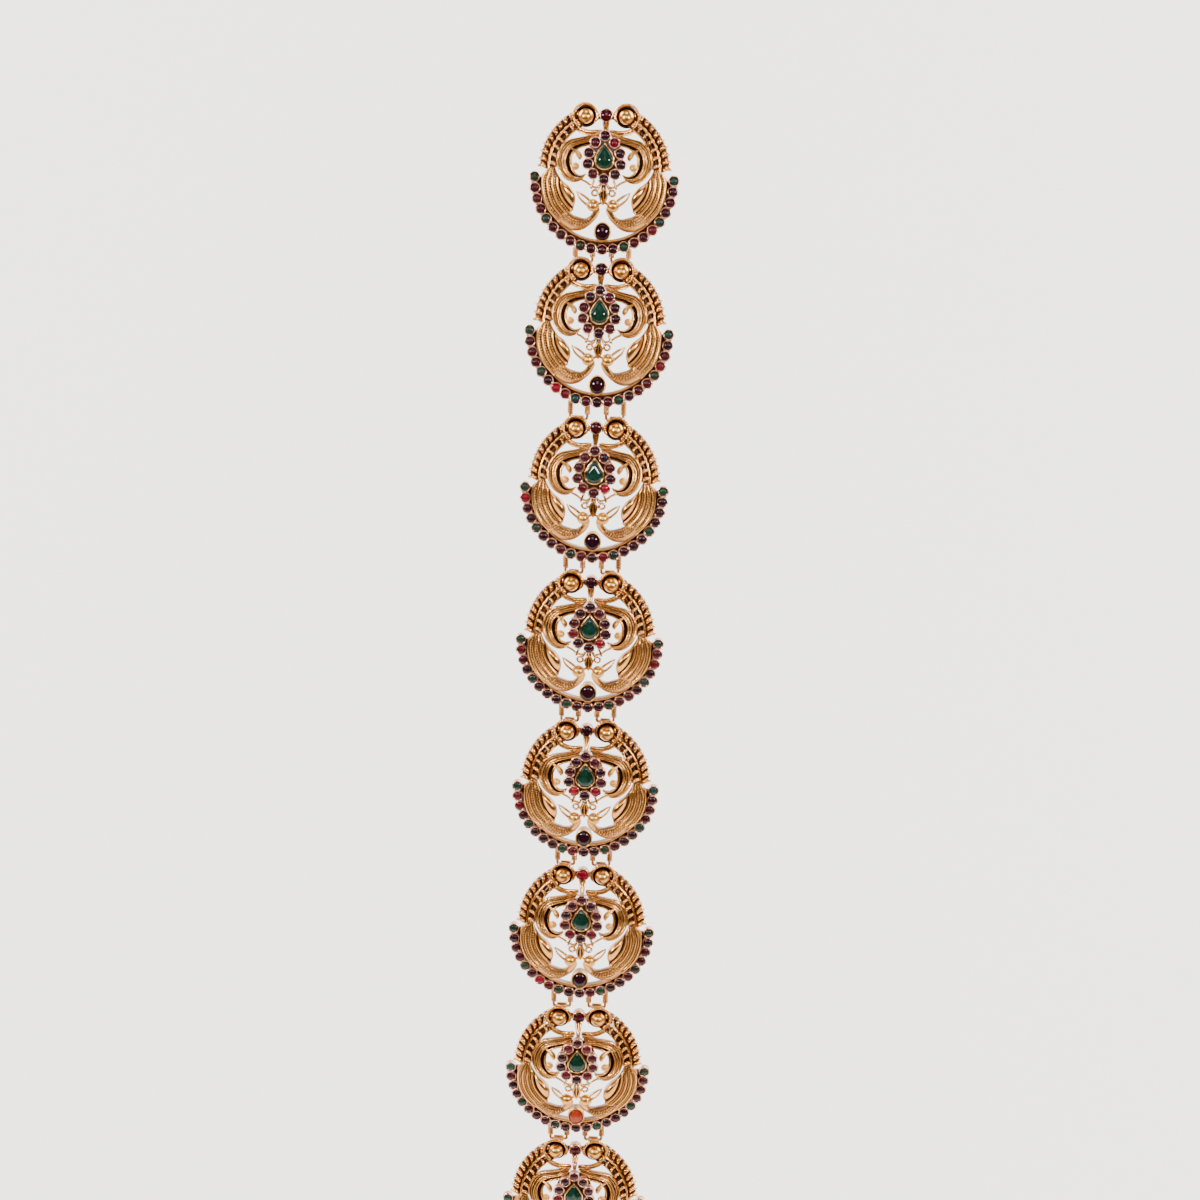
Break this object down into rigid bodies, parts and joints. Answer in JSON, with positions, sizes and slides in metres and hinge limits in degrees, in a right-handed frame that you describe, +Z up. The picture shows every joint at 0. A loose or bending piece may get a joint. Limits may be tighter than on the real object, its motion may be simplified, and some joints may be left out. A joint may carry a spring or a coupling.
{
  "type": "jadanagam braid ornament",
  "caption": "Long hair ornament of hinged, domed, openwork gilt plates with birds, scrolls and red, green and purple stones, hung by a hook down a braid.",
  "frame": {"origin": "centre of the bend of the hair hook, behind the top medallion, where the ornament hangs", "axes": "+Z up along the hanging chain, +X to the right seen from the front, the faces look to -Y"},
  "size_m": [0.054, 0.089, 0.444],
  "materials": {
    "antique_gold": "antique gilt metal, satin on the high spots, dark brown patina in the recesses",
    "plain_gold": "plain satin gilt wire",
    "ruby": "glossy deep wine-red cabochons, some brighter",
    "emerald": "glossy dark green cabochon",
    "amethyst": "glossy purple-maroon cabochon"
  },
  "bodies": {
    "plate_1": {"medallion_1": "antique_gold", "edge_stones_1": "ruby", "pear_stone_1": "emerald", "oval_stone_1": "amethyst", "top_stone_1": "ruby", "hair_hook": "plain_gold"},
    "plate_2": {"medallion_2": "antique_gold", "edge_stones_2": "ruby", "pear_stone_2": "emerald", "oval_stone_2": "amethyst", "top_stone_2": "ruby"},
    "plate_3": {"medallion_3": "antique_gold", "edge_stones_3": "ruby", "pear_stone_3": "emerald", "oval_stone_3": "amethyst", "top_stone_3": "ruby"},
    "plate_4": {"medallion_4": "antique_gold", "edge_stones_4": "ruby", "pear_stone_4": "emerald", "oval_stone_4": "amethyst", "top_stone_4": "ruby"},
    "plate_5": {"medallion_5": "antique_gold", "edge_stones_5": "ruby", "pear_stone_5": "emerald", "oval_stone_5": "amethyst", "top_stone_5": "ruby"},
    "plate_6": {"medallion_6": "antique_gold", "edge_stones_6": "ruby", "pear_stone_6": "emerald", "oval_stone_6": "amethyst", "top_stone_6": "ruby"},
    "plate_7": {"medallion_7": "antique_gold", "edge_stones_7": "ruby", "pear_stone_7": "emerald", "oval_stone_7": "amethyst", "top_stone_7": "ruby"},
    "plate_8": {"medallion_8": "antique_gold", "edge_stones_8": "ruby", "pear_stone_8": "emerald", "oval_stone_8": "amethyst", "top_stone_8": "ruby"}
  },
  "joints": [
    {"name": "hinge_1", "type": "hinge", "parent": "plate_1", "child": "plate_2", "pos_m": [0, -0.0032, -0.05075], "axis": [1, 0, 0], "range_deg": [-26.5, 29.5]},
    {"name": "hinge_2", "type": "hinge", "parent": "plate_2", "child": "plate_3", "pos_m": [0, -0.0027, -0.10775], "axis": [1, 0, 0], "range_deg": [-35, 25]},
    {"name": "hinge_3", "type": "hinge", "parent": "plate_3", "child": "plate_4", "pos_m": [0, 0.00276, -0.16448], "axis": [1, 0, 0], "range_deg": [-35, 25]},
    {"name": "hinge_4", "type": "hinge", "parent": "plate_4", "child": "plate_5", "pos_m": [0, 0.01315, -0.22053], "axis": [1, 0, 0], "range_deg": [-32, 28]},
    {"name": "hinge_5", "type": "hinge", "parent": "plate_5", "child": "plate_6", "pos_m": [0, 0.02549, -0.27618], "axis": [1, 0, 0], "range_deg": [-30.5, 29.5]},
    {"name": "hinge_6", "type": "hinge", "parent": "plate_6", "child": "plate_7", "pos_m": [0, 0.03842, -0.33221], "axis": [1, 0, 0], "range_deg": [-35, 25]},
    {"name": "hinge_7", "type": "hinge", "parent": "plate_7", "child": "plate_8", "pos_m": [0, 0.05619, -0.38689], "axis": [1, 0, 0], "range_deg": [-31, 29]}
  ]
}
